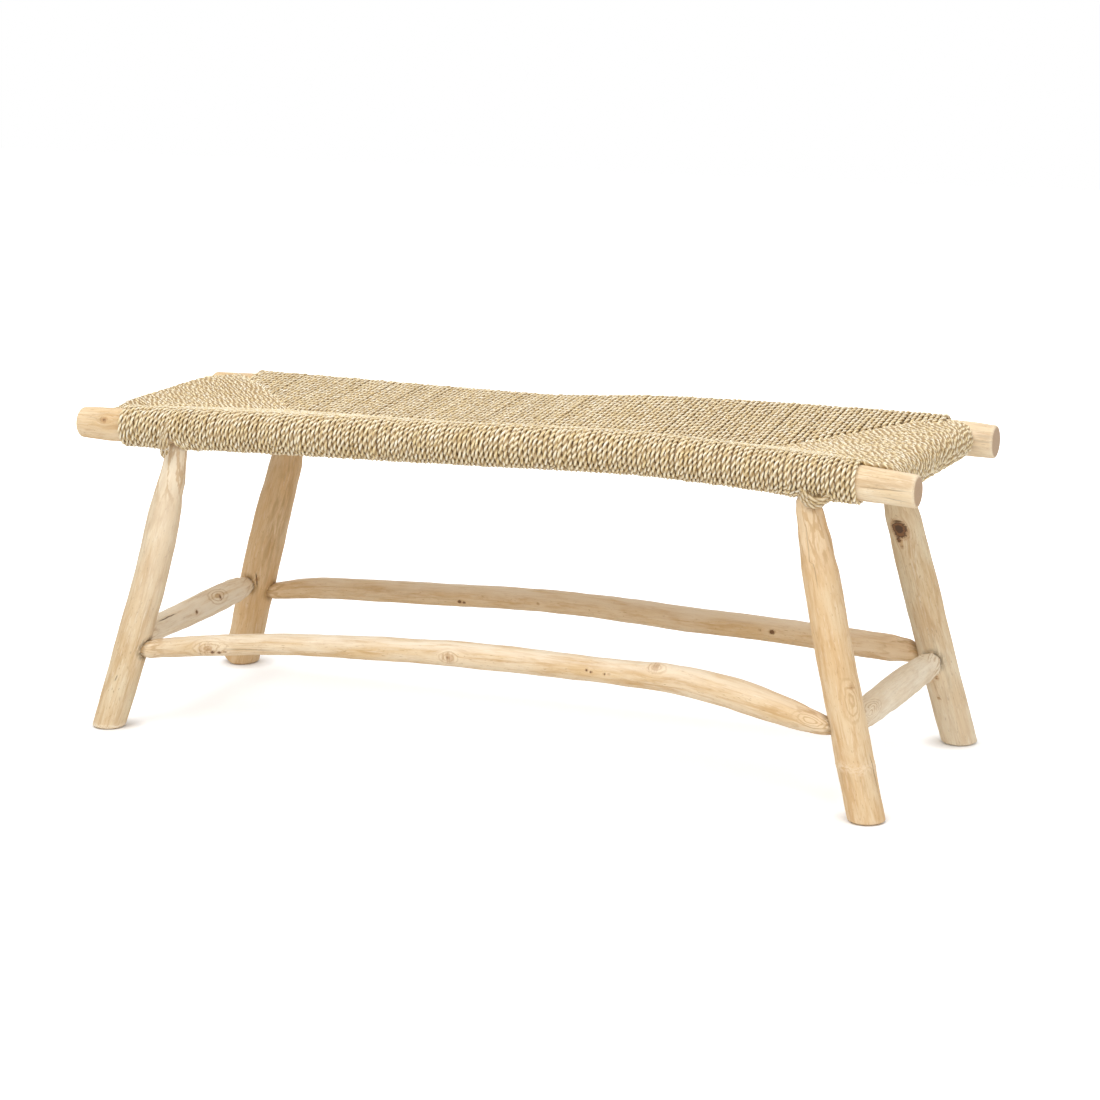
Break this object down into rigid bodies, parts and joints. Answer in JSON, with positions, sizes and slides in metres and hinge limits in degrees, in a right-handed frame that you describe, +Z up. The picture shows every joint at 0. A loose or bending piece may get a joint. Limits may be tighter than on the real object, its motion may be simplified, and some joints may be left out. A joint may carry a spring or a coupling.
{
  "type": "rush bench",
  "caption": "Low rustic bench of pale debarked branches, with splayed legs, bowed stretchers and a seat of twisted rope woven round the rails in the rush pattern.",
  "frame": {"origin": "on the floor, under the middle of the bench's box", "axes": "+X along the bench to the sitter's left as they sit facing the front, +Y from the front to the back, +Z up"},
  "size_m": [1.206, 0.445, 0.4693],
  "materials": {
    "rail_wood": "bare, dry",
    "leg_wood": "bare, dry",
    "stretcher_wood": "bare, dry",
    "rope": "two-ply twisted plant fibre"
  },
  "bodies": {
    "root": {"front_seat_rail": "rail_wood", "back_seat_rail": "rail_wood", "left_end_rail": "rail_wood", "right_end_rail": "rail_wood", "front_left_leg": "leg_wood", "front_right_leg": "leg_wood", "back_left_leg": "leg_wood", "back_right_leg": "leg_wood", "front_stretcher": "stretcher_wood", "back_stretcher": "stretcher_wood", "left_stretcher": "stretcher_wood", "right_stretcher": "stretcher_wood", "front_seat_panel": "rope", "back_seat_panel": "rope", "left_seat_panel": "rope", "right_seat_panel": "rope"}
  },
  "joints": []
}
